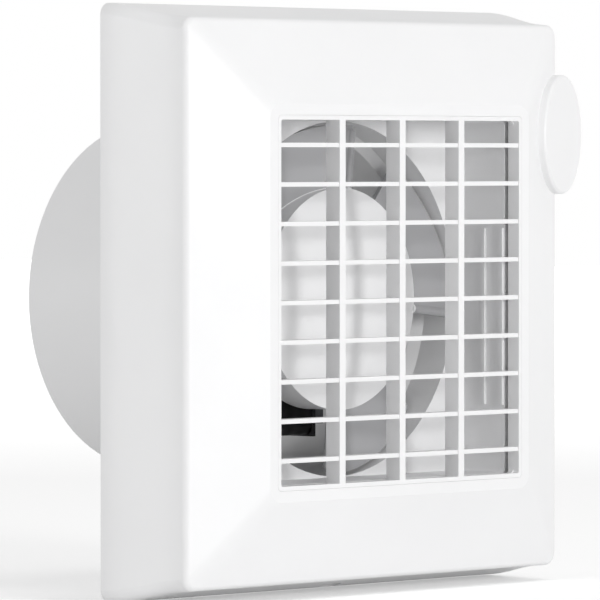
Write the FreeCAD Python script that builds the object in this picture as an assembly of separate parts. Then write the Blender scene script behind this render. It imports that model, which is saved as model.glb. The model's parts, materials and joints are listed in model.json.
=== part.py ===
import FreeCAD, Part
import math
import os

# Square wall fan for a round duct. Millimetres, +Z up, the room is towards -Y.
# The origin is on the fan's axis, in the plane where the housing meets the wall.

Vector = FreeCAD.Vector

# Duct spigot
spigot_outer_radius = 49.5
spigot_length = 58.0
spigot_wall = 2.0
spigot_end_chamfer = 0.8

# Front cover: from the bore outwards, its opening, flat border, sloped margin and flared side
opening_margin = 3.4
field_border = 3.1
margin_width = 23.25
margin_rise = 9.5
cover_flare = 4.0
cover_side_depth = 29.5
cover_rear_gap = 1.6
cover_wall = 2.0
cover_corner_radius = 3.4
cover_edge_fillet = 2.0
field_corner_radius = 4.0
flare_stations = 7

# Inlet grille
opening_corner_radius = 1.2
grille_clearance = 0.05
grille_collar = 1.2
grille_collar_depth = 4.0
grille_flange_width = 2.2
grille_flange_thickness = 1.5
slat_count = 9
slat_end_share = 0.64
slat_thickness = 1.2
slat_depth = 4.5
slat_setback = 0.3
fin_count = 3
fin_width = 2.4
fin_depth = 5.0

# Round disc on the cover's right edge
disc_radius = 17.0
disc_thickness = 2.4
disc_edge_fillet = 0.8
disc_drop = 31.25
disc_pin_radius = 2.0
disc_pin_inset = 9.0
disc_pin_clearance = 0.05

# Rear housing
base_clearance = 0.3
base_thickness = 2.5
base_corner_radius = 4.0
rim_height = 6.0
rim_wall = 1.6
deck_depth = 15.0
deck_wall = 2.0
deck_corner_radius = 3.0
deck_rim_gap = 0.5
wall_rib_thickness = 1.0
wall_rib_height = 0.9
wall_rib_spacing = 6.6
wall_rib_length = 50.0
wall_rib_drop = 5.5
mouth_margin = 0.15
mouth_wall = 1.6
mouth_step = 1.0
mouth_taper = 3.0
rib_thickness = 1.6
rib_height = 11.0
rib_offset = 30.0
tongue_width = 50.0
tongue_height = 12.0
tongue_drop = 5.0
wall_hole_inset = 8.95
wall_hole_radius = 2.3
wall_hole_boss_radius = 5.0
wall_hole_boss_height = 2.0

# Motor support in the bore
arm_count = 3
arm_first_angle = 90.0
arm_width = 3.0
arm_front = -1.0
arm_depth = 10.0
motor_plate_share = 0.547
motor_plate_front = 1.5
motor_plate_thickness = 2.5
nose_clearance = 0.4

# Cover screw, from below into a lug on the base
cover_screw_radius = 1.5
cover_screw_head_radius = 2.9
cover_screw_head_height = 1.8
cover_screw_length = 12.0
cover_screw_setback = 12.0
cover_screw_clearance = 0.2
cover_boss_radius = 4.4
cover_boss_length = 5.25
lug_width = 14.0
lug_depth = 18.0
lug_thickness = 8.0
lug_gap = 0.3

# Impeller
hub_share = 0.652
hub_wall = 1.6
hub_front = -20.5
hub_crown = 4.5
hub_rear = -5.5
hub_boss_radius = 5.0
hub_boss_rear = -4.0
tip_clearance = 1.0
blade_count = 4
blade_thickness = 1.5
blade_front = -15.4
blade_rear = -7.6
blade_sweep = 56.0
blade_lead_angle = 84.0
blade_bead_radius = 1.3
blade_root_sink = 0.6
blade_stations = 6
clip_thickness = 1.0
clip_width = 2.0

# Motor shaft and rotor
shaft_radius = 2.0
shaft_front = -16.0
shaft_overhang = 1.5
air_gap = 0.35
rotor_ring_inset = 0.85
rotor_ring_length = 1.4
washer_radius = 3.6
washer_thickness = 0.5
end_play = 0.2

# Stator: its shares are of the spigot's bore, and the shading ring's are of the rotor's bore
stack_length = 16.0
stator_width_share = 0.442
stator_top_share = 0.316
stator_bottom_share = 0.758
stator_bore_share = 0.202
stator_corner_chamfer = 4.0
window_width_share = 0.252
window_top_share = 0.316
core_bar_share = 0.19
core_bar_place_share = 0.621
shading_wire = 1.5
shading_clearance = 0.1
shading_notch_shares = (0.48, 1.125)
shading_slot_shares = (1.5, 0.48)

# Coil
bobbin_clearance = 0.1
bobbin_wall = 1.0
bobbin_flange = 1.2
coil_build = 3.8
flange_lip = 0.4
coil_corner_radius = 2.5

# Bearing brackets and bushes
bracket_half_width = 7.0
bracket_thickness = 1.5
bracket_standoff = 4.0
bracket_end_margin = 4.0
bracket_post_radius = 3.0
nose_outer_radius = 6.5
nose_length = 3.5
bush_radius = 4.8
bush_half_length = 2.6
bush_seat_clearance = 0.05
running_clearance = 0.03
felt_thickness = 1.0
felt_clearance = 0.3

# Motor screws and nuts
motor_screw_share = 0.347
motor_screw_radius = 1.5
motor_hole_clearance = 0.1
motor_screw_head_radius = 2.8
motor_screw_head_height = 1.8
motor_nut_radius = 2.9
motor_nut_height = 2.2
motor_screw_tail = 1.0

# Terminal block, cord clamp and cable entry, in the space left of the deck
terminal_width = 13.0
terminal_length = 24.0
terminal_height = 11.0
terminal_pole_count = 2
terminal_pole_pitch = 8.0
terminal_rib = 1.6
terminal_wire_hole_radius = 1.4
terminal_wire_hole_height = 2.2
terminal_screw_radius = 1.8
terminal_screw_depth = 5.0
terminal_screw_sink = 1.2
screw_slot_width = 0.7
screw_slot_depth = 0.6
clamp_length = 16.0
clamp_width = 12.0
clamp_thickness = 3.0
clamp_gap = 4.5
clamp_pillar_radius = 2.6
clamp_pillar_height = 4.0
clamp_screw_offset = 5.2
clamp_screw_radius = 1.3
clamp_screw_head_radius = 2.3
clamp_screw_head_height = 1.4
clamp_screw_length = 5.0
grommet_gap = 12.0
grommet_hole_radius = 5.0
grommet_bore_radius = 3.4
grommet_lip = 1.4
grommet_lip_thickness = 1.2
grommet_clearance = 0.05

# Motor leads, from the coil to the terminal block
lead_radius = 0.9
lead_bend = 4.0
lead_hole_clearance = 0.3
lead_reach_share = 0.59
lead_exit_inset = 3.0

# Cuts run this far past the faces that they open
overrun = 1.0

# Edges are picked by their place to within this
pick_tolerance = 0.05

# Values that follow from the sizes above
bore_radius = spigot_outer_radius - spigot_wall
opening_half = bore_radius + opening_margin
field_half = opening_half + field_border
cover_front_half = field_half + margin_width
cover_front_depth = cover_side_depth + margin_rise
cover_boss_end = cover_front_half - cover_boss_length
base_half = cover_front_half - cover_wall - base_clearance
inlet_half = opening_half - grille_clearance - grille_collar
deck_half = inlet_half + deck_wall
deck_front = -cover_front_depth + fin_depth + deck_rim_gap
wall_hole_offset = base_half - wall_hole_inset
wall_boss_front = -base_thickness - wall_hole_boss_height
lug_low = -cover_boss_end + lug_gap
clamp_floor = -base_thickness - clamp_pillar_height
slat_pitch = 2 * inlet_half / (slat_count - 1 + 2 * slat_end_share)
fin_pitch = 2 * inlet_half / (fin_count + 1)
disc_height = cover_front_half - disc_drop
hub_radius = bore_radius * hub_share
mouth_radius = inlet_half - mouth_margin
tip_radius = mouth_radius - tip_clearance
motor_plate_radius = bore_radius * motor_plate_share
motor_screw_offset = bore_radius * motor_screw_share
motor_front = motor_plate_front + motor_plate_thickness
stack_front = motor_front + bracket_thickness + bracket_standoff
stack_rear = stack_front + stack_length
motor_rear = stack_rear + bracket_standoff + bracket_thickness
stator_half_width = bore_radius * stator_width_share
stator_top = bore_radius * stator_top_share
stator_bottom = -bore_radius * stator_bottom_share
stator_bore_radius = bore_radius * stator_bore_share
window_half_width = bore_radius * window_width_share
window_top = -bore_radius * window_top_share
core_bar_thickness = bore_radius * core_bar_share
core_bar_middle = -bore_radius * core_bar_place_share
rotor_radius = stator_bore_radius - air_gap
rotor_ring_radius = rotor_radius - rotor_ring_inset
shading_notch_x, shading_notch_z = (stator_bore_radius * share for share in shading_notch_shares)
shading_slot_x, shading_slot_z = (stator_bore_radius * share for share in shading_slot_shares)
lead_reach = bore_radius * lead_reach_share
motor_hole_radius = motor_screw_radius + motor_hole_clearance
margin_slope = math.degrees(math.atan2(margin_rise, margin_width))
terminal_x = -(deck_half + base_half - rim_wall) / 2
terminal_middle = core_bar_middle
clamp_middle = terminal_middle + terminal_length / 2 + clamp_gap + clamp_width / 2
grommet_middle = clamp_middle + clamp_width / 2 + grommet_gap


# Basic shapes

def box(x_range, y_range, z_range):
    """A box between low and high values along each axis."""
    low = Vector(x_range[0], y_range[0], z_range[0])
    return Part.makeBox(x_range[1] - low.x, y_range[1] - low.y, z_range[1] - low.z, low)


def centred(half):
    """The range from minus half to plus half."""
    return (-half, half)


def around(middle, width):
    """The range of a width about a middle."""
    return (middle - width / 2, middle + width / 2)


def rod_y(radius, y_start, y_end, x=0, z=0):
    """A cylinder along the fan's axis."""
    return Part.makeCylinder(radius, y_end - y_start, Vector(x, y_start, z), Vector(0, 1, 0))


def tube_y(outer, inner, y_start, y_end, x=0, z=0):
    """A ring along the fan's axis."""
    bore = rod_y(inner, y_start - overrun, y_end + overrun, x, z)
    return rod_y(outer, y_start, y_end, x, z).cut(bore)


def rod_z(radius, z_start, z_end, x, y):
    """An upright cylinder."""
    return Part.makeCylinder(radius, z_end - z_start, Vector(x, y, z_start), Vector(0, 0, 1))


def square_wire(half, radius, y):
    """A square outline with round corners, across the fan's axis."""
    flat = half - radius
    diagonal = radius * math.sqrt(0.5)
    edges = []
    for quarter in range(4):
        turn = FreeCAD.Rotation(Vector(0, 1, 0), -90.0 * quarter)
        start = turn.multVec(Vector(half, 0, -flat))
        end = turn.multVec(Vector(half, 0, flat))
        middle = turn.multVec(Vector(flat + diagonal, 0, flat + diagonal))
        after = turn.multVec(Vector(flat, 0, half))
        place = Vector(0, y, 0)
        edges.append(Part.LineSegment(start + place, end + place).toShape())
        edges.append(Part.Arc(end + place, middle + place, after + place).toShape())
    return Part.Wire(Part.__sortEdges__(edges))


def square_block(half, radius, y_start, y_end):
    """A square block with round corners."""
    return Part.Face(square_wire(half, radius, y_start)).extrude(Vector(0, y_end - y_start, 0))


def square_frame(half, wall, radius, y_start, y_end):
    """A square wall with round corners."""
    inner_radius = max(radius - wall, wall / 2)
    hollow = square_block(half - wall, inner_radius, y_start - overrun, y_end + overrun)
    return square_block(half, radius, y_start, y_end).cut(hollow)


def fused(shapes):
    """One clean solid from shapes that touch or overlap."""
    whole = shapes[0].multiFuse(shapes[1:])
    return whole.removeSplitter()


def turned(shape, angle):
    """A copy turned about the fan's axis, counter-clockwise seen from the room."""
    copy = shape.copy()
    copy.rotate(Vector(0, 0, 0), Vector(0, 1, 0), -angle)
    return copy


def bent_tube(points, radius, bend):
    """A round wire along straight runs joined by tangent arcs."""
    edges = []
    start = points[0]
    for before, corner, after in zip(points, points[1:], points[2:]):
        back = (before - corner).normalize()
        ahead = (after - corner).normalize()
        half_turn = (math.pi - back.getAngle(ahead)) / 2
        reach = bend * math.tan(half_turn)
        arc_start = corner + back * reach
        arc_end = corner + ahead * reach
        inward = (back + ahead).normalize()
        middle = corner + inward * (bend / math.cos(half_turn) - bend)
        edges.append(Part.LineSegment(start, arc_start).toShape())
        edges.append(Part.Arc(arc_start, middle, arc_end).toShape())
        start = arc_end
    edges.append(Part.LineSegment(start, points[-1]).toShape())
    path = Part.Wire(edges)
    circle = Part.makeCircle(radius, points[0], points[1] - points[0])
    return path.makePipeShell([Part.Wire(circle)], True, True)


# Front cover and grille

def cover_half(depth):
    """Half size of the cover's outline at a depth from the wall: an ogee from the rear to the front."""
    side_share = (depth - cover_rear_gap) / (cover_side_depth - cover_rear_gap)
    return cover_front_half + cover_flare * (1 + math.cos(math.pi * side_share)) / 2


def cover_form(inset):
    """The cover's outer form, drawn in by inset on every side but the rear."""
    sections = []
    for station in range(flare_stations):
        depth = cover_rear_gap + (cover_side_depth - cover_rear_gap) * station / (flare_stations - 1)
        sections.append(square_wire(cover_half(depth) - inset, cover_corner_radius - inset, -depth))
    sides = Part.makeLoft(sections, True, False)
    edge = square_wire(cover_front_half - inset, cover_corner_radius - inset, -cover_side_depth)
    field = square_wire(field_half, field_corner_radius, -(cover_front_depth - inset))
    margins = Part.makeLoft([edge, field], True, True)
    return sides.fuse(margins)


def round_cover_edge(form):
    """The form with its front perimeter rounded."""
    perimeter = []
    for edge in form.Edges:
        low, high = edge.BoundBox.YMin, edge.BoundBox.YMax
        if abs(low + cover_side_depth) < pick_tolerance and abs(high + cover_side_depth) < pick_tolerance:
            perimeter.append(edge)
    return form.makeFillet(cover_edge_fillet, perimeter)


def on_right_margin(shape):
    """A shape made at the origin, facing -Y, laid on the right margin's edge at the disc's height."""
    copy = shape.copy()
    copy.rotate(Vector(0, 0, 0), Vector(0, 0, 1), margin_slope)
    copy.translate(Vector(cover_front_half, -cover_side_depth, disc_height))
    return copy


def cover_screw_seat():
    """Height of the face in the cover's bottom that the screw's head bears on."""
    return -cover_half(cover_screw_setback) + cover_screw_head_height + cover_wall / 2


def make_front_cover():
    form = round_cover_edge(cover_form(0))
    shell = form.cut(cover_form(cover_wall))
    screw_z = cover_half(cover_screw_setback)
    boss = rod_z(cover_boss_radius, -screw_z + cover_wall / 2, -cover_boss_end, 0, -cover_screw_setback)
    shell = shell.fuse(boss)
    opening = square_block(opening_half, opening_corner_radius, -cover_front_depth - overrun, 0)
    hole = rod_z(cover_screw_radius + cover_screw_clearance, -screw_z - overrun, 0, 0, -cover_screw_setback)
    sink = rod_z(cover_screw_head_radius + cover_screw_clearance, -screw_z - overrun, cover_screw_seat(), 0,
                 -cover_screw_setback)
    pin_hole = rod_y(disc_pin_radius + disc_pin_clearance, -overrun, cover_front_depth, -disc_pin_inset)
    return shell.cut([opening, hole, sink, on_right_margin(pin_hole)]).removeSplitter()


def make_inlet_grille():
    front = -cover_front_depth
    inside = opening_half - grille_clearance
    flange_front = front + cover_wall + grille_clearance
    collar = square_frame(inside, grille_collar, opening_corner_radius, front, front + grille_collar_depth)
    flange = square_frame(opening_half + grille_flange_width, grille_flange_width + grille_collar,
                          opening_corner_radius, flange_front, flange_front + grille_flange_thickness)
    reach = inside - grille_collar / 2
    slat_range = (front + slat_setback, front + slat_depth)
    bars = []
    for index in range(slat_count):
        z = (index - (slat_count - 1) / 2) * slat_pitch
        bars.append(box(centred(reach), slat_range, around(z, slat_thickness)))
    for index in range(fin_count):
        x = (index - (fin_count - 1) / 2) * fin_pitch
        bars.append(box(around(x, fin_width), (front, front + fin_depth), centred(reach)))
    return fused([collar, flange] + bars)


def make_edge_disc():
    disc = rod_y(disc_radius, -disc_thickness, 0)
    rim = [edge for edge in disc.Edges if abs(edge.CenterOfMass.y + disc_thickness) < pick_tolerance]
    disc = disc.makeFillet(disc_edge_fillet, [edge for edge in rim if edge.Closed])
    pin = rod_y(disc_pin_radius, -disc_thickness / 2, cover_wall * 2, -disc_pin_inset)
    return on_right_margin(disc.fuse(pin).removeSplitter())


def make_cover_screw():
    seat = cover_screw_seat()
    bottom = seat - cover_screw_head_height
    head = rod_z(cover_screw_head_radius, bottom, seat, 0, -cover_screw_setback)
    shank = rod_z(cover_screw_radius, seat, seat + cover_screw_length, 0, -cover_screw_setback)
    slot = box(centred(cover_screw_head_radius + overrun), around(-cover_screw_setback, screw_slot_width),
               (bottom - overrun, bottom + screw_slot_depth))
    return head.fuse(shank).cut(slot).removeSplitter()


# Rear housing

def housing_ribs():
    """Stiffening ribs between the deck's sides and the rim."""
    ribs = []
    for side in range(4):
        for sign in (-1, 1):
            rib = box((deck_half - deck_wall / 2, base_half - rim_wall / 2),
                      (-rib_height, -base_thickness / 2), around(sign * rib_offset, rib_thickness))
            ribs.append(turned(rib, 90.0 * side))
    return ribs


def wall_ribs():
    """Upright ribs on the left and right walls of the inlet."""
    ribs = []
    for side in (0, 180):
        for index in range(2):
            y = deck_front + index * wall_rib_spacing
            drop = wall_rib_drop if side == 0 else -wall_rib_drop
            rib = box((inlet_half - wall_rib_height, inlet_half + deck_wall / 2), (y, y + wall_rib_thickness),
                      around(-drop, wall_rib_length))
            ribs.append(turned(rib, side))
    return ribs


def bore_cuts():
    """The spigot's bore, and the wider mouth that tapers down to it in front."""
    bore = rod_y(bore_radius, -deck_depth, spigot_length + overrun)
    taper_front = -mouth_step - mouth_taper
    mouth = rod_y(mouth_radius, -deck_depth - overrun, taper_front)
    taper = Part.makeCone(mouth_radius, bore_radius, mouth_taper, Vector(0, taper_front, 0), Vector(0, 1, 0))
    return [bore, mouth, taper]


def rim_tongues():
    """Taller stretches of the rim that guide the cover's left and right sides."""
    tongues = []
    for sign in (-1, 1):
        outer, inner = sign * base_half, sign * (base_half - rim_wall)
        tongues.append(box((min(outer, inner), max(outer, inner)), (-tongue_height, 0),
                           around(-tongue_drop, tongue_width)))
    return tongues


def wall_screw_places():
    """Places of the four wall screws."""
    return [(x, z) for x in centred(wall_hole_offset) for z in centred(wall_hole_offset)]


def clamp_screw_places():
    """Places of the cord clamp's two screws, from left to right."""
    return [terminal_x + sign * clamp_screw_offset for sign in (-1, 1)]


def housing_base():
    """The base plate with its rim, square inlet box, ribs, bosses, lug and pillars."""
    plate = square_block(base_half, base_corner_radius, -base_thickness, 0)
    rim = square_frame(base_half, rim_wall, base_corner_radius, -rim_height, 0)
    deck = square_block(deck_half, deck_corner_radius, deck_front, 0)
    ribs = [rib for rib in housing_ribs() if rib.BoundBox.XMin > -deck_half]
    bosses = [rod_y(wall_hole_boss_radius, wall_boss_front, 0, x, z) for x, z in wall_screw_places()]
    lug = box(centred(lug_width / 2), (-lug_depth, -base_thickness / 2), (lug_low, lug_low + lug_thickness))
    pillars = [rod_y(clamp_pillar_radius, clamp_floor, -base_thickness / 2, x, clamp_middle)
               for x in clamp_screw_places()]
    body = fused([plate, rim, deck] + ribs + rim_tongues() + bosses + [lug] + pillars)
    corner = deck_corner_radius - deck_wall
    inlet = square_block(inlet_half, corner, deck_front - overrun, -deck_depth)
    deck_hollow = square_block(inlet_half, corner, -deck_depth + deck_wall, overrun)
    return fused([body.cut([inlet, deck_hollow])] + wall_ribs())


def spigot_blanks():
    """The mouth's wall and the spigot behind it, before the bore is cut."""
    mouth = rod_y(mouth_radius + mouth_wall, -deck_depth, 0)
    spigot = rod_y(spigot_outer_radius, 0, spigot_length)
    ends = [edge for edge in spigot.Edges if edge.Closed and edge.CenterOfMass.y > spigot_length / 2]
    return [mouth, spigot.makeChamfer(spigot_end_chamfer, ends)]


def housing_holes():
    """Holes for the wall screws, the clamp's screws, the leads, the cover screw and the cable."""
    holes = [rod_y(wall_hole_radius, wall_boss_front - overrun, overrun, x, z)
             for x, z in wall_screw_places()]
    holes += [rod_y(clamp_screw_radius, clamp_floor - overrun, -base_thickness / 2, x, clamp_middle)
              for x in clamp_screw_places()]
    holes += [lead_hole(index) for index in range(terminal_pole_count)]
    holes.append(rod_z(cover_screw_radius, lug_low - overrun, lug_low + lug_thickness + overrun, 0,
                       -cover_screw_setback))
    holes.append(rod_y(grommet_hole_radius, -base_thickness - overrun, overrun, terminal_x, grommet_middle))
    return holes


def make_rear_housing():
    body = fused([housing_base()] + spigot_blanks())
    body = fused([body.cut(bore_cuts()), motor_support()])
    return body.cut(housing_holes()).removeSplitter()


def motor_support():
    """Radial arms and the plate that carries the motor, in the bore."""
    plate = rod_y(motor_plate_radius, motor_plate_front, motor_front)
    arms = []
    for index in range(arm_count):
        arm = box((motor_plate_radius / 2, bore_radius + spigot_wall / 2), (arm_front, arm_front + arm_depth),
                  centred(arm_width / 2))
        arms.append(turned(arm, arm_first_angle + 360.0 * index / arm_count))
    motor_room = rod_y(motor_plate_radius - arm_width, motor_front, arm_front + arm_depth + overrun)
    hub_room = rod_y(motor_plate_radius - arm_width, arm_front - overrun, motor_plate_front)
    spokes = fused([plate] + arms).cut([motor_room, hub_room])
    cuts = [rod_y(nose_outer_radius + nose_clearance, motor_plate_front - overrun, motor_front + overrun)]
    for x in centred(motor_screw_offset):
        cuts.append(rod_y(motor_hole_radius, motor_plate_front - overrun, motor_front + overrun, x))
    return spokes.cut(cuts)


# Impeller and shaft

def blade():
    """One blade: thin radial sections that turn counter-clockwise as they go back from the leading edge."""
    sections = []
    for station in range(blade_stations):
        share = station / (blade_stations - 1)
        y = blade_front + (blade_rear - blade_front) * share
        low, high = around(y, blade_thickness)
        inner, outer = hub_radius - blade_root_sink, tip_radius
        outline = ((inner, low), (outer, low), (outer, high), (inner, high))
        corners = [Vector(radius, depth, 0) for radius, depth in outline]
        section = Part.makePolygon(corners + corners[:1])
        sections.append(turned(section, blade_lead_angle + blade_sweep * share))
    bead = Part.makeCylinder(blade_bead_radius, tip_radius - hub_radius + blade_root_sink - blade_bead_radius,
                             Vector(hub_radius - blade_root_sink, blade_front, 0), Vector(1, 0, 0))
    return Part.makeLoft(sections, True, False).fuse(turned(bead, blade_lead_angle))


def hub_shell():
    """The hub cup: a domed front, a straight skirt and a boss for the shaft."""
    dome_radius = (hub_radius ** 2 + hub_crown ** 2) / (2 * hub_crown)
    centre = hub_front + dome_radius
    ball = Part.makeSphere(dome_radius, Vector(0, centre, 0))
    cup = rod_y(hub_radius, hub_front, hub_rear).common(ball)
    inner_ball = Part.makeSphere(dome_radius - hub_wall, Vector(0, centre, 0))
    hollow = rod_y(hub_radius - hub_wall, hub_front, hub_rear + overrun).common(inner_ball)
    boss = rod_y(hub_boss_radius, hub_front + hub_wall / 2, hub_boss_rear)
    return cup.cut(hollow).fuse(boss)


def make_impeller():
    blades = [turned(blade(), 360.0 * index / blade_count) for index in range(blade_count)]
    hollow = rod_y(hub_radius - hub_wall, hub_front + hub_crown, hub_rear + overrun)
    hollow = hollow.cut(rod_y(hub_boss_radius, hub_front, hub_boss_rear))
    whole = fused([hub_shell()] + blades)
    bore = rod_y(shaft_radius, shaft_front, hub_boss_rear + overrun)
    return whole.cut([hollow, bore]).removeSplitter()


def make_hub_clip():
    return tube_y(hub_boss_radius + clip_thickness, hub_boss_radius, hub_rear - clip_width, hub_rear)


def make_shaft():
    return rod_y(shaft_radius, shaft_front, motor_rear + nose_length + shaft_overhang)


def make_rotor_core():
    core = rod_y(rotor_radius, stack_front, stack_rear)
    rings = rod_y(rotor_ring_radius, stack_front - rotor_ring_length, stack_rear + rotor_ring_length)
    bore = rod_y(shaft_radius, stack_front - bracket_standoff, stack_rear + bracket_standoff)
    return core.fuse(rings).cut(bore).removeSplitter()


def bush_middles():
    """Places of the two bushes along the axis."""
    return (motor_front + bracket_thickness / 2, motor_rear - bracket_thickness / 2)


def make_thrust_washers():
    front, rear = bush_middles()
    near = front + bush_half_length + end_play
    far = rear - bush_half_length - end_play
    first = tube_y(washer_radius, shaft_radius, near, near + washer_thickness)
    second = tube_y(washer_radius, shaft_radius, far - washer_thickness, far)
    return Part.makeCompound([first, second])


# Stator and coil

def shading_bars(grow):
    """The two axial bars of one shading ring, grown by a clearance."""
    bars = []
    half = shading_wire / 2 + grow
    y_range = (stack_front - shading_wire - overrun, stack_rear + shading_wire + overrun)
    for x, z in ((shading_notch_x, shading_notch_z), (shading_slot_x, shading_slot_z)):
        bars.append(box((x - half, x + half), y_range, (z - half, z + half)))
    return bars


def shading_ring():
    """A copper ring round one pole tip."""
    run = Vector(shading_slot_x - shading_notch_x, 0, shading_slot_z - shading_notch_z)
    half = shading_wire / 2
    low, high = stack_front - shading_wire, stack_rear + shading_wire
    ends = []
    for y_start, y_end in ((low, stack_front), (stack_rear, high)):
        bar = box((0, run.Length), (y_start, y_end), centred(half))
        bar.rotate(Vector(0, 0, 0), Vector(0, 1, 0), -math.degrees(math.atan2(run.z, run.x)))
        bar.translate(Vector(shading_notch_x, 0, shading_notch_z))
        ends.append(bar)
    span = box(centred(stator_half_width), (low, high), centred(stator_half_width))
    bars = [bar.common(span) for bar in shading_bars(0)]
    return fused(bars + ends)


def make_stator_core():
    frame = box(centred(stator_half_width), (stack_front, stack_rear), (stator_bottom, stator_top))
    corners = []
    for edge in frame.Edges:
        middle = edge.CenterOfMass
        if abs(middle.y - (stack_front + stack_rear) / 2) < pick_tolerance and middle.z > 0:
            corners.append(edge)
    frame = frame.makeChamfer(stator_corner_chamfer, corners)
    window = box(centred(window_half_width), (stack_front - overrun, stack_rear + overrun),
                 (stator_bottom - overrun, window_top))
    cuts = [window, rod_y(stator_bore_radius, stack_front - overrun, stack_rear + overrun)]
    for x in centred(motor_screw_offset):
        cuts.append(rod_y(motor_hole_radius, stack_front - overrun, stack_rear + overrun, x))
    for angle in (0, 180):
        cuts += [turned(bar, angle) for bar in shading_bars(shading_clearance)]
    return frame.cut(cuts).removeSplitter()


def make_shading_rings():
    return Part.makeCompound([turned(shading_ring(), angle) for angle in (0, 180)])


def core_ranges(grow):
    """Y and Z ranges of the coil core, grown on each side."""
    half = core_bar_thickness / 2 + grow
    return ((stack_front - grow, stack_rear + grow), (core_bar_middle - half, core_bar_middle + half))


def make_coil_core():
    y_range, z_range = core_ranges(0)
    return box(centred(window_half_width), y_range, z_range)


def make_coil_bobbin():
    half = window_half_width - bobbin_clearance
    inner = core_ranges(bobbin_clearance)
    tube = core_ranges(bobbin_clearance + bobbin_wall)
    lip = core_ranges(bobbin_clearance + bobbin_wall + coil_build + flange_lip)
    spool = box(centred(half), *tube)
    flanges = [box((half - bobbin_flange, half), *lip), box((-half, -half + bobbin_flange), *lip)]
    hole = box(centred(half + overrun), *inner)
    return fused([spool] + flanges).cut(hole)


def make_coil_winding():
    half = window_half_width - bobbin_clearance - bobbin_flange
    outer = box(centred(half), *core_ranges(bobbin_clearance + bobbin_wall + coil_build))
    long_edges = [edge for edge in outer.Edges if edge.BoundBox.XLength > half]
    outer = outer.makeFillet(coil_corner_radius, long_edges)
    return outer.cut(box(centred(half + overrun), *core_ranges(bobbin_clearance + bobbin_wall)))


# Brackets, bushes and motor fasteners

def bracket():
    """The front bracket: a bridge on two posts, with a nose that holds the bush."""
    half_length = motor_screw_offset + bracket_end_margin
    bridge = box(centred(half_length), (motor_front, motor_front + bracket_thickness),
                 centred(bracket_half_width))
    upright = [edge for edge in bridge.Edges if edge.BoundBox.YLength > bracket_thickness / 2]
    bridge = bridge.makeFillet(bracket_end_margin, upright)
    posts = [rod_y(bracket_post_radius, motor_front, stack_front, x) for x in centred(motor_screw_offset)]
    nose = rod_y(nose_outer_radius, motor_front - nose_length, motor_front + bracket_thickness)
    cuts = [rod_y(bush_radius + bush_seat_clearance, motor_front - nose_length - overrun, stack_front)]
    for x in centred(motor_screw_offset):
        cuts.append(rod_y(motor_hole_radius, motor_front - overrun, stack_front + overrun, x))
    return fused([bridge, nose] + posts).cut(cuts)


def to_rear(shape):
    """The rear copy of a front motor piece, mirrored about the middle of the stack."""
    return shape.mirror(Vector(0, (stack_front + stack_rear) / 2, 0), Vector(0, 1, 0))


def bush(middle):
    """A ball-shaped bush, flat at both ends, with a running bore for the shaft."""
    ball = Part.makeSphere(bush_radius, Vector(0, middle, 0))
    ball = ball.common(rod_y(bush_radius + overrun, middle - bush_half_length, middle + bush_half_length))
    return ball.cut(rod_y(shaft_radius + running_clearance, middle - bush_radius, middle + bush_radius))


def make_bush_felts():
    felts = []
    for middle, way in zip(bush_middles(), (-1, 1)):
        near = middle + way * bush_half_length
        far = near + way * felt_thickness
        felts.append(tube_y(bush_radius, shaft_radius + felt_clearance, min(near, far), max(near, far)))
    return Part.makeCompound(felts)


def make_motor_screws():
    screws = []
    for x in centred(motor_screw_offset):
        tail = motor_plate_front - motor_nut_height - motor_screw_tail
        top = motor_rear + motor_screw_head_height
        shank = rod_y(motor_screw_radius, tail, motor_rear, x)
        head = rod_y(motor_screw_head_radius, motor_rear, top, x)
        slot = box(around(x, screw_slot_width), (top - screw_slot_depth, top + overrun),
                   centred(motor_screw_head_radius + overrun))
        screws.append(shank.fuse(head).cut(slot).removeSplitter())
    return Part.makeCompound(screws)


def make_motor_nuts():
    nuts = []
    nut_front = motor_plate_front - motor_nut_height
    for x in centred(motor_screw_offset):
        corners = []
        for index in range(6):
            angle = math.radians(60.0 * index)
            corners.append(Vector(x + motor_nut_radius * math.cos(angle), nut_front,
                                  motor_nut_radius * math.sin(angle)))
        face = Part.Face(Part.makePolygon(corners + corners[:1]))
        nut = face.extrude(Vector(0, motor_nut_height, 0))
        hole = rod_y(motor_screw_radius, nut_front - overrun, motor_plate_front + overrun, x)
        nuts.append(nut.cut(hole))
    return Part.makeCompound(nuts)


# Terminal block, cord clamp, grommet and leads

def pole_heights():
    """Heights of the terminal poles."""
    spread = (terminal_pole_count - 1) / 2
    return [terminal_middle + (index - spread) * terminal_pole_pitch for index in range(terminal_pole_count)]


def make_terminal_block():
    half = terminal_width / 2
    floor = -base_thickness
    body = box(around(terminal_x, terminal_width), (floor - terminal_height, floor),
               around(terminal_middle, terminal_length))
    cuts = []
    for z in pole_heights():
        y = floor - terminal_wire_hole_height
        cuts.append(Part.makeCylinder(terminal_wire_hole_radius, terminal_width + 2 * overrun,
                                      Vector(terminal_x - half - overrun, y, z), Vector(1, 0, 0)))
        cuts.append(rod_y(terminal_screw_radius, floor - terminal_height - overrun,
                          floor - terminal_wire_hole_height, terminal_x, z))
    groove = box(around(terminal_x, terminal_width + 2 * overrun),
                 (floor - terminal_height - overrun, floor - terminal_height + terminal_screw_depth),
                 around(terminal_middle, terminal_rib))
    return body.cut(cuts + [groove]).removeSplitter()


def slotted_screw(x, z, top, depth, radius):
    """A headless screw with a slot across its top, facing the room."""
    shank = rod_y(radius, top, top + depth, x, z)
    slot = box(around(x, screw_slot_width), (top - overrun, top + screw_slot_depth),
               around(z, 2 * (radius + overrun)))
    return shank.cut(slot)


def make_terminal_screws():
    top = -base_thickness - terminal_height + terminal_screw_sink
    screws = [slotted_screw(terminal_x, z, top, terminal_screw_depth, terminal_screw_radius)
              for z in pole_heights()]
    return Part.makeCompound(screws)


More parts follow.
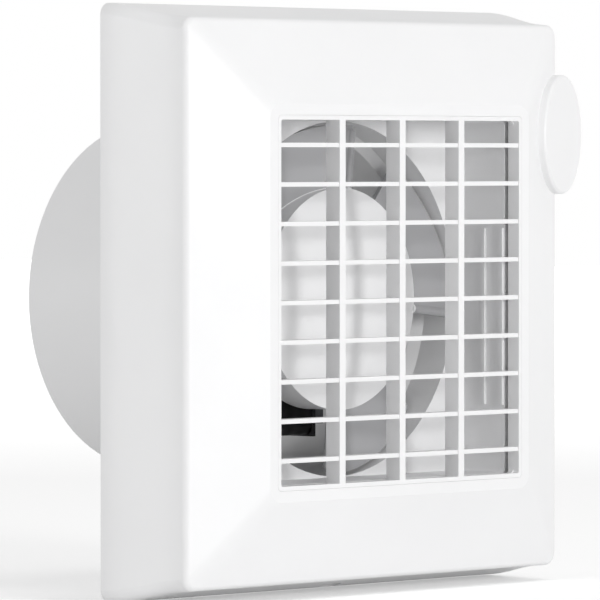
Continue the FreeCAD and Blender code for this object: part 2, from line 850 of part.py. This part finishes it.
def make_cord_clamp():
    bar = box(around(terminal_x, clamp_length), (clamp_floor - clamp_thickness, clamp_floor),
              around(clamp_middle, clamp_width))
    corners = [edge for edge in bar.Edges if edge.BoundBox.YLength > clamp_thickness / 2]
    bar = bar.makeFillet(clamp_pillar_radius, corners)
    holes = [rod_y(clamp_screw_radius, clamp_floor - clamp_thickness - overrun, clamp_floor + overrun, x,
                   clamp_middle) for x in clamp_screw_places()]
    return bar.cut(holes)


def make_cord_clamp_screws():
    screws = []
    seat = clamp_floor - clamp_thickness
    top = seat - clamp_screw_head_height
    for x in clamp_screw_places():
        head = rod_y(clamp_screw_head_radius, top, seat, x, clamp_middle)
        shank = rod_y(clamp_screw_radius, seat, seat + clamp_screw_length, x, clamp_middle)
        slot = box(around(x, screw_slot_width), (top - overrun, top + screw_slot_depth),
                   around(clamp_middle, 2 * (clamp_screw_head_radius + overrun)))
        screws.append(head.fuse(shank).cut(slot).removeSplitter())
    return Part.makeCompound(screws)


def make_cable_grommet():
    neck = grommet_hole_radius - grommet_clearance
    lip = neck + grommet_lip
    low, high = -base_thickness - grommet_lip_thickness, 0
    waist = tube_y(neck, grommet_bore_radius, low, high, terminal_x, grommet_middle)
    flange = tube_y(lip, grommet_bore_radius, low, -base_thickness, terminal_x, grommet_middle)
    return fused([waist, flange])


def lead_points(index):
    """Corners of one lead's route, from the coil to its terminal."""
    z = pole_heights()[index]
    coil_y = stack_front - lead_exit_inset
    pole_y = -base_thickness - terminal_wire_hole_height
    return [
        Vector(-(window_half_width - bobbin_clearance), coil_y, z),
        Vector(-lead_reach, coil_y, z),
        Vector(-lead_reach, pole_y, z),
        Vector(terminal_x + terminal_width / 2 - lead_exit_inset, pole_y, z),
    ]


def lead_hole(index):
    """The hole that one lead takes through the bore's wall and the deck's side."""
    corner, end = lead_points(index)[2:]
    return Part.makeCylinder(lead_radius + lead_hole_clearance, corner.x - end.x, end, Vector(1, 0, 0))


def make_motor_leads():
    return Part.makeCompound([bent_tube(lead_points(index), lead_radius, lead_bend)
                              for index in range(terminal_pole_count)])


def build_parts():
    """Every piece by its name."""
    front_middle, rear_middle = bush_middles()
    return {
        "front_cover": make_front_cover(),
        "inlet_grille": make_inlet_grille(),
        "edge_disc": make_edge_disc(),
        "cover_screw": make_cover_screw(),
        "rear_housing": make_rear_housing(),
        "impeller": make_impeller(),
        "hub_clip": make_hub_clip(),
        "motor_shaft": make_shaft(),
        "rotor_core": make_rotor_core(),
        "thrust_washers": make_thrust_washers(),
        "stator_core": make_stator_core(),
        "shading_rings": make_shading_rings(),
        "coil_core": make_coil_core(),
        "coil_bobbin": make_coil_bobbin(),
        "coil_winding": make_coil_winding(),
        "front_bracket": bracket(),
        "rear_bracket": to_rear(bracket()),
        "front_bush": bush(front_middle),
        "rear_bush": bush(rear_middle),
        "bush_felts": make_bush_felts(),
        "motor_screws": make_motor_screws(),
        "motor_nuts": make_motor_nuts(),
        "terminal_block": make_terminal_block(),
        "terminal_screws": make_terminal_screws(),
        "cord_clamp": make_cord_clamp(),
        "cord_clamp_screws": make_cord_clamp_screws(),
        "cable_grommet": make_cable_grommet(),
        "motor_leads": make_motor_leads(),
    }


os.makedirs("parts", exist_ok=True)
for name, shape in build_parts().items():
    shape.exportStep("parts/" + name + ".step")
    print(name, "solids", len(shape.Solids), "valid", shape.isValid(), "volume", round(shape.Volume, 1))
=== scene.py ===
import json
import math

import bpy
from mathutils import Matrix, Vector


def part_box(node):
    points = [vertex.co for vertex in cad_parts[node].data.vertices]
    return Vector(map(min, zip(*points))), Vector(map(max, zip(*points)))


# A square wall fan in metres, on a pale floor. The grille faces -Y and +Z is up.

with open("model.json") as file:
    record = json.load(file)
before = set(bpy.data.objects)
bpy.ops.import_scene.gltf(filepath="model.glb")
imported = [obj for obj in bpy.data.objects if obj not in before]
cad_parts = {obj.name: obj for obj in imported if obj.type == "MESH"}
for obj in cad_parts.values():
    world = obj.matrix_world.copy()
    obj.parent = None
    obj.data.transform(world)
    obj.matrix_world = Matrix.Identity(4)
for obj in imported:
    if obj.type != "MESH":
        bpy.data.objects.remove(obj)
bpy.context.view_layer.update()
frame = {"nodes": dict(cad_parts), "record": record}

# Camera: at the photograph's viewing angle, from the middle of the grille's front, for a square image
image_size = 600
camera_yaw = math.radians(47.74)
camera_pitch = math.radians(1.32)
camera_distance = 1.703
focal_pixels = 6168.5
sensor_width_mm = 36.0
aim_pixel = (402.69, 300.23)

# Floor: its glow goes from the first value to the second between the two distances of the fade
floor_half = 4.0
floor_drop = 0.0003
floor_colour = (0.93, 0.93, 0.93, 1.0)
floor_roughness = 0.9
floor_specular = 0.1
floor_glow = (0.32, 1.0)
floor_fade = (0.6, 2.6)

# Light: each lamp's place, size and power, and the world's strength as light and as the backdrop
front_lamp = ((-0.3, -2.2, 0.28), 0.7, 22.5)
left_lamp = ((-2.1, 1.0, 0.2), 0.5, 8.0)
top_lamp = ((0.1, -0.6, 2.2), 0.8, 5.5)
light_white = (1.0, 1.0, 1.0, 1.0)
world_light = 0.5
backdrop_white = 1.0

# All materials: scales are per metre, spreads are shares of a colour, and relief is a depth in metres
ramp_low = 0.3
ramp_high = 0.7
plain_detail = 3.0

# Moulded plastic
white = (0.86, 0.86, 0.865, 1.0)
plastic_tone_scale = 18.0
plastic_tone_spread = 0.012
plastic_sheen_scale = 60.0
plastic_smoother = 0.05
plastic_rougher = 0.07
plastic_grain_scale = 1400.0
plastic_grain_detail = 2.0
plastic_relief = 0.000008
sleeve_tone_spread = 0.05

# Plastics by slot: colour and mean roughness, and the spread of the tone where it isn't the usual one
plastics = {
    "cover_white": (white, 0.4),
    "disc_white": (white, 0.36),
    "housing_white": (white, 0.4),
    "bobbin_plastic": ((0.06, 0.06, 0.063, 1.0), 0.5),
    "washer_plastic": ((0.62, 0.58, 0.46, 1.0), 0.5),
    "terminal_plastic": ((0.7, 0.7, 0.68, 1.0), 0.5),
    "clamp_plastic": ((0.78, 0.78, 0.78, 1.0), 0.45),
    "lead_sleeve": ((0.55, 0.55, 0.58, 1.0), 0.45, sleeve_tone_spread),
}

# Impeller: the edge radius lies just outside the hub, and the blades go on beyond it. The blades' grey
# is painted shade.
impeller_roughness = 0.44
blade_painted_shade = (0.41, 0.41, 0.42, 1.0)
hub_edge_radius = 0.0312
across_axis = (1.0, 0.0, 1.0)

# Bare metal
metal_tone_scale = 120.0
metal_tone_spread = 0.06
metal_sheen_scale = 300.0
metal_smoother = 0.08
metal_rougher = 0.1
metal_relief = 0.000012

# Metals by slot: colour, mean roughness, the axis that the machining lines cross, and the lines' scale
metals = {
    "screw_steel": ((0.55, 0.55, 0.56, 1.0), 0.32, "Y", 900.0),
    "spring_steel": ((0.3, 0.3, 0.32, 1.0), 0.35, "Y", 700.0),
    "shaft_steel": ((0.6, 0.6, 0.61, 1.0), 0.2, "Y", 1500.0),
    "rotor_metal": ((0.42, 0.42, 0.43, 1.0), 0.4, "Y", 600.0),
    "copper": ((0.55, 0.25, 0.13, 1.0), 0.3, "Y", 500.0),
    "bracket_alloy": ((0.5, 0.51, 0.52, 1.0), 0.42, "X", 300.0),
    "bush_bronze": ((0.4, 0.26, 0.12, 1.0), 0.45, "Y", 800.0),
    "terminal_brass": ((0.56, 0.4, 0.15, 1.0), 0.3, "Y", 900.0),
}

# Lamination steel
lamination_grey = (0.2, 0.205, 0.215, 1.0)
lamination_metallic = 0.75
lamination_sheet_scale = 314.0
lamination_tone_spread = 0.3
lamination_sheen_scale = 200.0
lamination_roughness = (0.38, 0.6)
lamination_relief = 0.00008

# Coil tape
tape_black = (0.03, 0.03, 0.032, 1.0)
tape_coat = 0.3
tape_tone_scale = 90.0
tape_tone_spread = 0.2
tape_sheen_scale = 150.0
tape_roughness = (0.25, 0.42)
tape_edge_scale = 60.0
tape_relief = 0.00012

# Oiled felt
felt_brown = (0.3, 0.26, 0.19, 1.0)
felt_detail = 6.0
felt_tone_scale = 900.0
felt_tone_spread = 0.3
felt_sheen_scale = 400.0
felt_roughness = (0.85, 0.98)
felt_fibre_scale = 2500.0
felt_relief = 0.0002

# Rubber
rubber_black = (0.018, 0.018, 0.019, 1.0)
rubber_tone_scale = 200.0
rubber_tone_spread = 0.25
rubber_sheen_scale = 500.0
rubber_roughness = (0.55, 0.75)
rubber_grain_scale = 2200.0
rubber_relief = 0.00003


# Node helpers

def new_material(name):
    """A new material, its node tree and its Principled shader."""
    material = bpy.data.materials.new(name)
    material.use_nodes = True
    return material, material.node_tree, material.node_tree.nodes["Principled BSDF"]


def object_coordinates(tree):
    """Coordinates in metres in the object's own frame."""
    return tree.nodes.new("ShaderNodeTexCoord").outputs["Object"]


def noise(tree, scale, detail=plain_detail):
    """Grain of a given scale, as a factor."""
    node = tree.nodes.new("ShaderNodeTexNoise")
    node.inputs["Scale"].default_value = scale
    node.inputs["Detail"].default_value = detail
    tree.links.new(object_coordinates(tree), node.inputs["Vector"])
    return node.outputs["Fac"]


def bands(tree, axis, scale):
    """Straight bands across one axis, as a factor."""
    node = tree.nodes.new("ShaderNodeTexWave")
    node.bands_direction = axis
    node.inputs["Scale"].default_value = scale
    tree.links.new(object_coordinates(tree), node.inputs["Vector"])
    return node.outputs["Fac"]


def vector_length(tree, vector):
    """The length of a vector."""
    node = tree.nodes.new("ShaderNodeVectorMath")
    node.operation = "LENGTH"
    tree.links.new(vector, node.inputs[0])
    return node.outputs["Value"]


def axis_distance(tree):
    """The distance from the fan's axis."""
    across = tree.nodes.new("ShaderNodeVectorMath")
    across.operation = "MULTIPLY"
    across.inputs[1].default_value = across_axis
    tree.links.new(object_coordinates(tree), across.inputs[0])
    return vector_length(tree, across.outputs["Vector"])


def combined(tree, operation, first, second):
    """Two values joined by a math operation."""
    node = tree.nodes.new("ShaderNodeMath")
    node.operation = operation
    tree.links.new(first, node.inputs[0])
    tree.links.new(second, node.inputs[1])
    return node.outputs["Value"]


def seen_rays(tree):
    """1 for rays from the camera and for those in reflections and glass, 0 for light."""
    path = tree.nodes.new("ShaderNodeLightPath")
    total = path.outputs["Is Camera Ray"]
    for ray in ("Is Glossy Ray", "Is Transmission Ray"):
        total = combined(tree, "MAXIMUM", total, path.outputs[ray])
    return total


def scaled(colour, share):
    """A colour made lighter or darker, with its alpha kept."""
    return tuple(channel * share for channel in colour[:3]) + (colour[3],)


def link_colour(tree, shader, factor, colour, spread):
    """The shader's colour, varied by a factor on both sides of a colour."""
    ramp = tree.nodes.new("ShaderNodeValToRGB")
    ramp.color_ramp.elements[0].position = ramp_low
    ramp.color_ramp.elements[1].position = ramp_high
    ramp.color_ramp.elements[0].color = scaled(colour, 1 - spread)
    ramp.color_ramp.elements[1].color = scaled(colour, 1 + spread)
    tree.links.new(factor, ramp.inputs["Fac"])
    tree.links.new(ramp.outputs["Color"], shader.inputs["Base Color"])


def link_roughness(tree, shader, factor, low, high):
    """The shader's roughness, between two values."""
    span = tree.nodes.new("ShaderNodeMapRange")
    span.inputs["To Min"].default_value = low
    span.inputs["To Max"].default_value = high
    tree.links.new(factor, span.inputs["Value"])
    tree.links.new(span.outputs["Result"], shader.inputs["Roughness"])


def link_bump(tree, shader, factor, depth):
    """The shader's relief, of a depth in metres."""
    bump = tree.nodes.new("ShaderNodeBump")
    bump.inputs["Distance"].default_value = depth
    tree.links.new(factor, bump.inputs["Height"])
    tree.links.new(bump.outputs["Normal"], shader.inputs["Normal"])


# Materials

def moulded_plastic(name, colour, roughness, spread=plastic_tone_spread):
    """Moulded plastic with a faint grain and an uneven sheen."""
    material, tree, shader = new_material(name)
    link_colour(tree, shader, noise(tree, plastic_tone_scale), colour, spread)
    sheen = noise(tree, plastic_sheen_scale)
    link_roughness(tree, shader, sheen, roughness - plastic_smoother, roughness + plastic_rougher)
    link_bump(tree, shader, noise(tree, plastic_grain_scale, plastic_grain_detail), plastic_relief)
    return material


def impeller_plastic_with_painted_shade(name):
    """A white hub, and blades darkened to grey as painted shade, told apart by their distance from the
    axis.
    """
    material = moulded_plastic(name, white, impeller_roughness)
    tree = material.node_tree
    shader = tree.nodes["Principled BSDF"]
    hub_colour = shader.inputs["Base Color"].links[0].from_socket
    # Painted shade: everything farther from the axis than the hub's edge, that is the blades, is
    # coloured a darker grey.
    shaded_blade_mask = tree.nodes.new("ShaderNodeMath")
    shaded_blade_mask.operation = "GREATER_THAN"
    shaded_blade_mask.inputs[1].default_value = hub_edge_radius
    tree.links.new(axis_distance(tree), shaded_blade_mask.inputs[0])
    mix = tree.nodes.new("ShaderNodeMix")
    mix.data_type = "RGBA"
    mix.inputs["B"].default_value = blade_painted_shade
    tree.links.new(shaded_blade_mask.outputs["Value"], mix.inputs["Factor"])
    tree.links.new(hub_colour, mix.inputs["A"])
    tree.links.new(mix.outputs["Result"], shader.inputs["Base Color"])
    return material


def bare_metal(name, colour, roughness, line_axis, line_scale):
    """Metal with machining lines across one axis."""
    material, tree, shader = new_material(name)
    shader.inputs["Metallic"].default_value = 1.0
    link_colour(tree, shader, noise(tree, metal_tone_scale), colour, metal_tone_spread)
    sheen = noise(tree, metal_sheen_scale)
    link_roughness(tree, shader, sheen, roughness - metal_smoother, roughness + metal_rougher)
    link_bump(tree, shader, bands(tree, line_axis, line_scale), metal_relief)
    return material


def lamination_steel(name):
    """Varnished steel sheets, stacked along the fan's axis."""
    material, tree, shader = new_material(name)
    shader.inputs["Metallic"].default_value = lamination_metallic
    sheets = bands(tree, "Y", lamination_sheet_scale)
    link_colour(tree, shader, sheets, lamination_grey, lamination_tone_spread)
    link_roughness(tree, shader, noise(tree, lamination_sheen_scale), *lamination_roughness)
    link_bump(tree, shader, sheets, lamination_relief)
    return material


def coil_tape(name):
    """Dark tape wound over the coil, with its overlapping edges."""
    material, tree, shader = new_material(name)
    shader.inputs["Coat Weight"].default_value = tape_coat
    link_colour(tree, shader, noise(tree, tape_tone_scale), tape_black, tape_tone_spread)
    link_roughness(tree, shader, noise(tree, tape_sheen_scale), *tape_roughness)
    link_bump(tree, shader, bands(tree, "X", tape_edge_scale), tape_relief)
    return material


def felt(name):
    """Oiled felt."""
    material, tree, shader = new_material(name)
    link_colour(tree, shader, noise(tree, felt_tone_scale, felt_detail), felt_brown, felt_tone_spread)
    link_roughness(tree, shader, noise(tree, felt_sheen_scale), *felt_roughness)
    link_bump(tree, shader, noise(tree, felt_fibre_scale, felt_detail), felt_relief)
    return material


def rubber(name):
    """Black moulded rubber."""
    material, tree, shader = new_material(name)
    link_colour(tree, shader, noise(tree, rubber_tone_scale), rubber_black, rubber_tone_spread)
    link_roughness(tree, shader, noise(tree, rubber_sheen_scale), *rubber_roughness)
    link_bump(tree, shader, noise(tree, rubber_grain_scale), rubber_relief)
    return material


def floor_material():
    """A pale matt floor that keeps the fan's shadow and fades to white."""
    material, tree, shader = new_material("pale_floor")
    shader.inputs["Base Color"].default_value = floor_colour
    shader.inputs["Roughness"].default_value = floor_roughness
    shader.inputs["Specular IOR Level"].default_value = floor_specular
    fade = tree.nodes.new("ShaderNodeMapRange")
    fade.inputs["From Min"].default_value, fade.inputs["From Max"].default_value = floor_fade
    fade.inputs["To Min"].default_value, fade.inputs["To Max"].default_value = floor_glow
    tree.links.new(vector_length(tree, object_coordinates(tree)), fade.inputs["Value"])
    glow = combined(tree, "MULTIPLY", fade.outputs["Result"], seen_rays(tree))
    shader.inputs["Emission Color"].default_value = light_white
    tree.links.new(glow, shader.inputs["Emission Strength"])
    return material


def make_materials():
    """Each material by its slot in the record."""
    others = {
        "impeller_white": impeller_plastic_with_painted_shade,
        "lamination_steel": lamination_steel,
        "coil_tape": coil_tape,
        "felt": felt,
        "grommet_rubber": rubber,
    }
    materials = {slot: moulded_plastic(slot, *values) for slot, values in plastics.items()}
    materials.update({slot: bare_metal(slot, *values) for slot, values in metals.items()})
    materials.update({slot: make(slot) for slot, make in others.items()})
    return materials


def paint_nodes():
    """Each CAD node gets the material of its slot in the record."""
    materials = make_materials()
    for entry in frame["record"]["subparts"]:
        node = frame["nodes"][entry["node"]]
        node.data.materials.clear()
        node.data.materials.append(materials[entry["material_slot"]])


# Stage

def add_floor():
    """A square floor just under the cover."""
    low_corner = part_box("front_cover")[0]
    height = low_corner[2] - floor_drop
    unit_corners = [(-1, -1), (1, -1), (1, 1), (-1, 1)]
    corners = [(x * floor_half, y * floor_half, height) for x, y in unit_corners]
    mesh = bpy.data.meshes.new("floor")
    mesh.from_pydata(corners, [], [(0, 1, 2, 3)])
    mesh.materials.append(floor_material())
    floor = bpy.data.objects.new("floor", mesh)
    bpy.context.collection.objects.link(floor)


def add_lamp(name, place, size, power):
    """A round soft lamp that is aimed at the origin, in the middle of the fan."""
    lamp = bpy.data.lights.new(name, "AREA")
    lamp.shape = "DISK"
    lamp.size = size
    lamp.energy = power
    holder = bpy.data.objects.new(name, lamp)
    holder.location = place
    holder.rotation_euler = (-Vector(place)).to_track_quat("-Z", "Y").to_euler()
    bpy.context.collection.objects.link(holder)


def set_world():
    """Even light from all sides, and a backdrop that is seen as white."""
    world = bpy.data.worlds.new("studio")
    world.use_nodes = True
    tree = world.node_tree
    background = tree.nodes["Background"]
    background.inputs["Color"].default_value = light_white
    strength = tree.nodes.new("ShaderNodeMapRange")
    strength.inputs["To Min"].default_value = world_light
    strength.inputs["To Max"].default_value = backdrop_white
    tree.links.new(seen_rays(tree), strength.inputs["Value"])
    tree.links.new(strength.outputs["Result"], background.inputs["Strength"])
    bpy.context.scene.world = world


def camera_directions():
    """The camera's directions to the right, up and ahead."""
    level = math.cos(camera_pitch)
    ahead = Vector((math.sin(camera_yaw) * level, math.cos(camera_yaw) * level, -math.sin(camera_pitch)))
    right = Vector((math.cos(camera_yaw), -math.sin(camera_yaw), 0))
    return right, right.cross(ahead), ahead


def add_camera():
    """The camera, placed so that the middle of the grille's front falls on the aim pixel."""
    right, up, ahead = camera_directions()
    grille_low, grille_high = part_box("inlet_grille")
    target = Vector((0, grille_low[1], (grille_low[2] + grille_high[2]) / 2))
    metres_per_pixel = camera_distance / focal_pixels
    across = (aim_pixel[0] - image_size / 2) * metres_per_pixel
    rise = (image_size / 2 - aim_pixel[1]) * metres_per_pixel
    place = target - ahead * camera_distance - right * across - up * rise
    data = bpy.data.cameras.new("camera")
    data.sensor_width = sensor_width_mm
    data.lens = focal_pixels * sensor_width_mm / image_size
    camera = bpy.data.objects.new("camera", data)
    turn = Matrix((right, up, -ahead)).transposed().to_4x4()
    camera.matrix_world = Matrix.Translation(place) @ turn
    bpy.context.collection.objects.link(camera)
    bpy.context.scene.camera = camera


paint_nodes()
add_floor()
add_lamp("front_lamp", *front_lamp)
add_lamp("left_lamp", *left_lamp)
add_lamp("top_lamp", *top_lamp)
set_world()
add_camera()
bpy.context.scene.view_settings.view_transform = "Standard"
